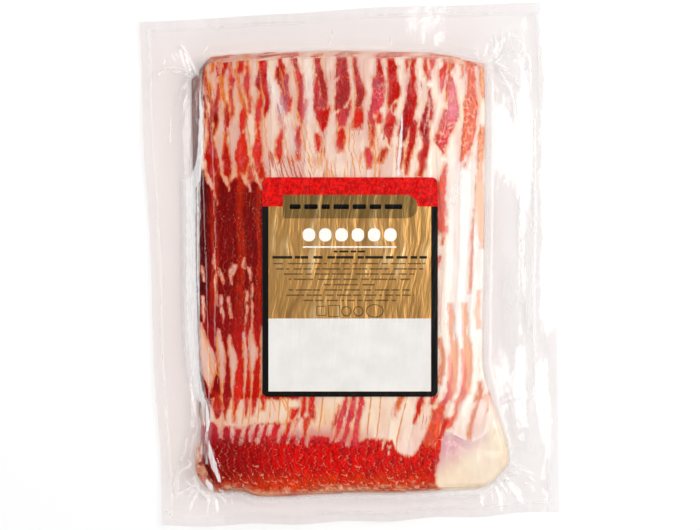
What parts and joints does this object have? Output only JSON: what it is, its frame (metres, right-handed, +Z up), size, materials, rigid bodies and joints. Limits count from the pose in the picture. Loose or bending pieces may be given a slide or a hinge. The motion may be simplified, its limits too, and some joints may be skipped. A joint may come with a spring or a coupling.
{
  "type": "vacuum pack of sliced pancetta",
  "caption": "Clear vacuum pouch lying flat, tight over a shingled stack of long streaky cured belly slices, with a rounded foil label on its face.",
  "frame": {"origin": "under the middle of the pouch, on the surface that it lies on", "axes": "+Z up out of the labelled face, +Y along the slices towards the label's upper edge, +X to the right of the label"},
  "size_m": [0.208, 0.2598, 0.0129],
  "materials": {
    "film": "clear glossy film, drawn tight, lightly creased",
    "cured_meat": "moist cured meat, deep red lean streaked with cream fat",
    "label": "foil-faced paper, satin gold, red, black and white"
  },
  "bodies": {
    "root": {"vacuum_pouch": "film", "front_label": "label"}
  },
  "joints": []
}
